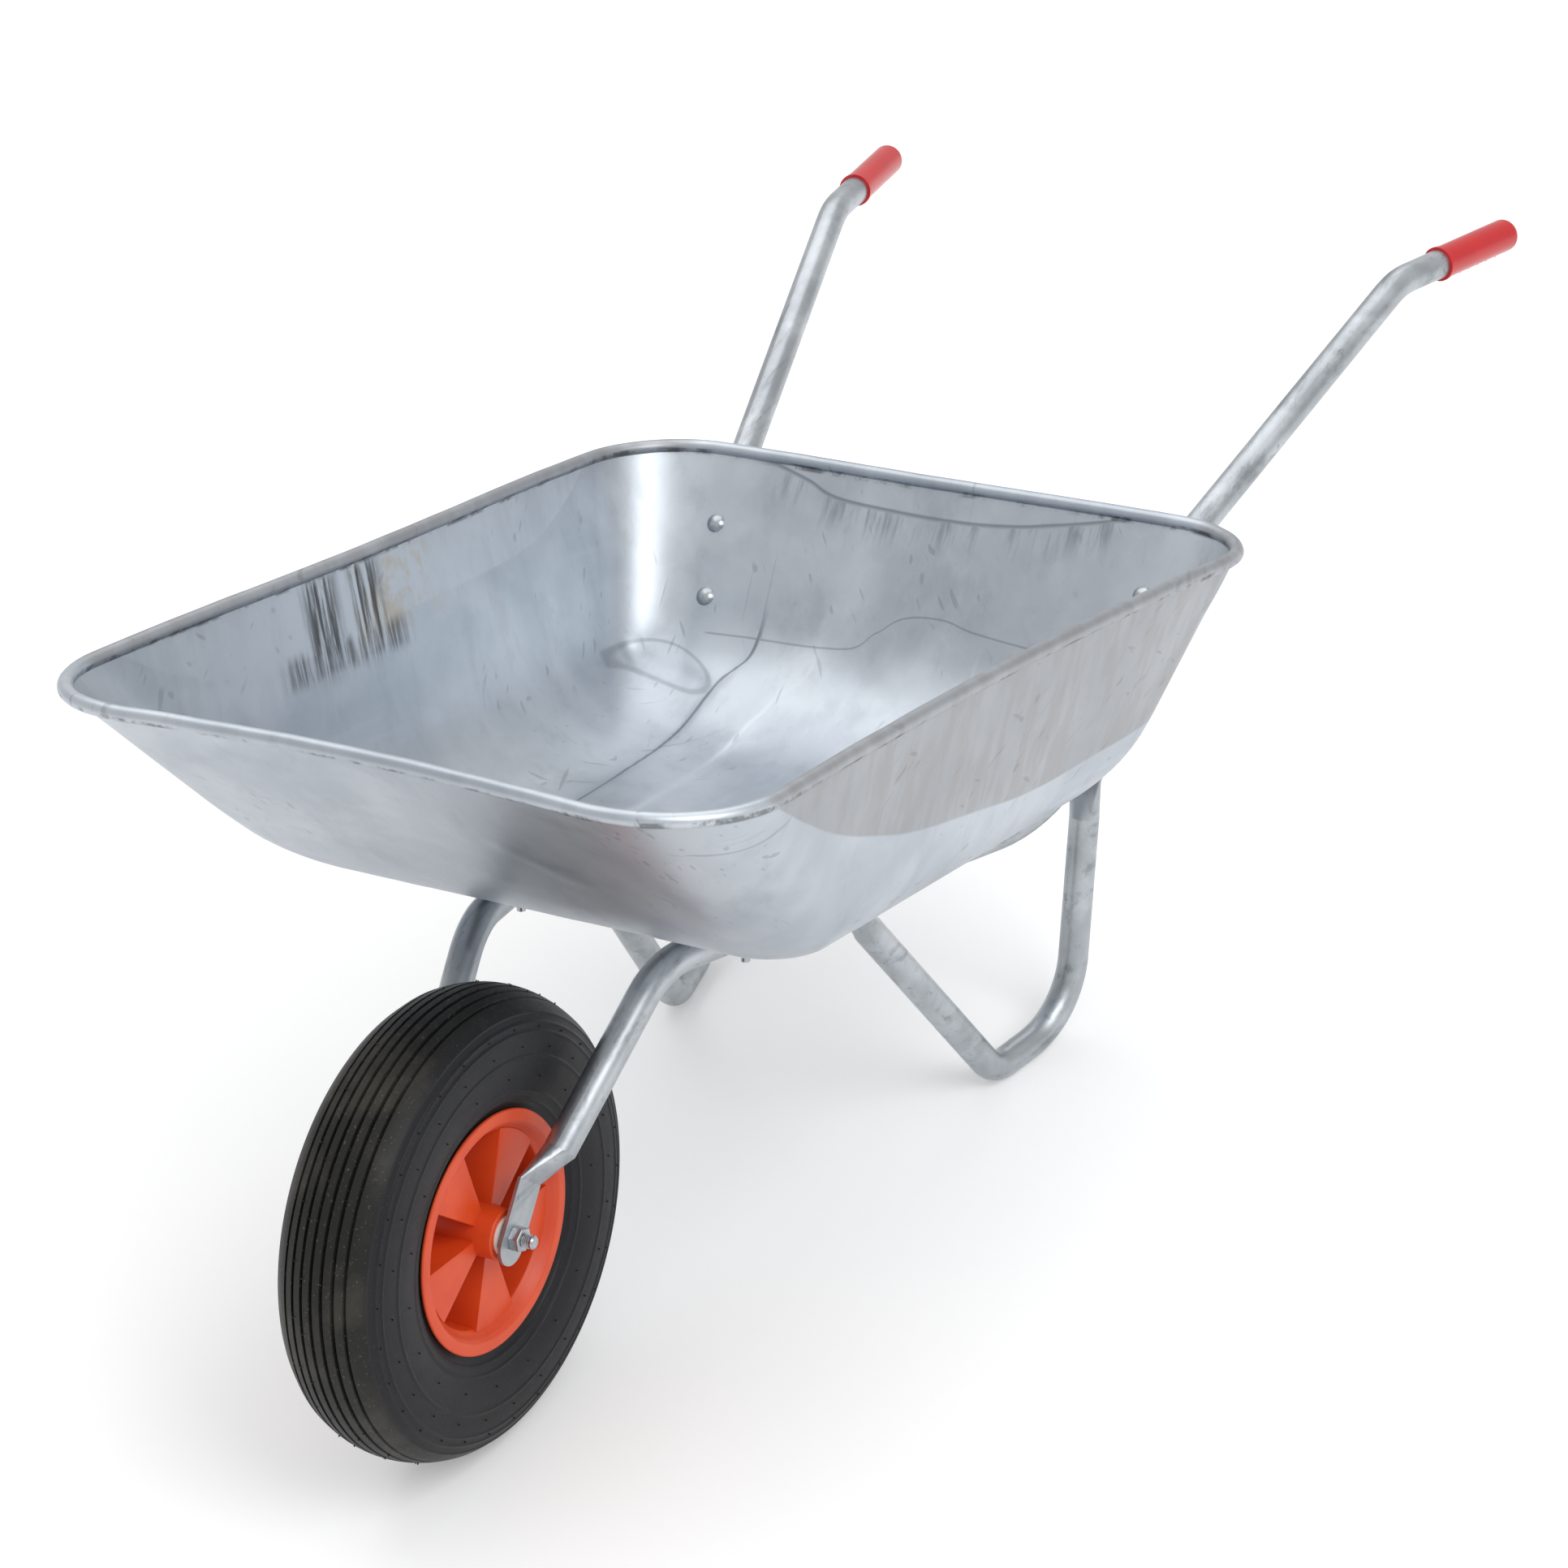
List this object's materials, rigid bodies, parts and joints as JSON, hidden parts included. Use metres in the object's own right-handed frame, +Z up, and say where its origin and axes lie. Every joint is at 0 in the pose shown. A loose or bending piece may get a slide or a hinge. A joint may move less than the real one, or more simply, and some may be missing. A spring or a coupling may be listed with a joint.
{
  "type": "wheelbarrow",
  "caption": "Garden wheelbarrow: pressed galvanised pan with rolled edge on bent tube handles, V legs, and a pneumatic tyre on a moulded rim that spins on its axle.",
  "frame": {"origin": "on the ground, under the middle of the whole barrow's box", "axes": "+X forward towards the wheel, +Y to the user's left, +Z up"},
  "size_m": [1.6369, 0.7226, 0.6692],
  "materials": {
    "pan_zinc": "galvanised, mottled satin",
    "tube_zinc": "galvanised, satin",
    "fastener_zinc": "bright zinc plate",
    "tyre_rubber": "satin moulded rubber",
    "tube_rubber": "matte",
    "rim_plastic": "satin orange",
    "grip_plastic": "glossy red",
    "bush_plastic": "natural nylon",
    "cap_plastic": "black",
    "valve_brass": "plain"
  },
  "bodies": {
    "frame": {"pan": "pan_zinc", "frame_tube_left": "tube_zinc", "frame_tube_right": "tube_zinc", "leg_left": "tube_zinc", "leg_right": "tube_zinc", "grip_left": "grip_plastic", "grip_right": "grip_plastic", "axle_bolt": "fastener_zinc", "axle_nut": "fastener_zinc", "axle_sleeve": "fastener_zinc", "axle_spacers": "fastener_zinc", "pan_bolts_short": "fastener_zinc", "pan_bolts_long": "fastener_zinc", "pan_washers": "fastener_zinc", "pan_nuts": "fastener_zinc"},
    "wheel": {"wheel_rim": "rim_plastic", "tyre": "tyre_rubber", "inner_tube": "tube_rubber", "valve_stem": "valve_brass", "valve_cap": "cap_plastic", "hub_bush_left": "bush_plastic", "hub_bush_right": "bush_plastic"}
  },
  "joints": [
    {"name": "wheel_spin", "type": "hinge", "parent": "frame", "child": "wheel", "pos_m": [0.61828, 0, 0.2], "axis": [0, 1, 0], "continuous": true}
  ]
}
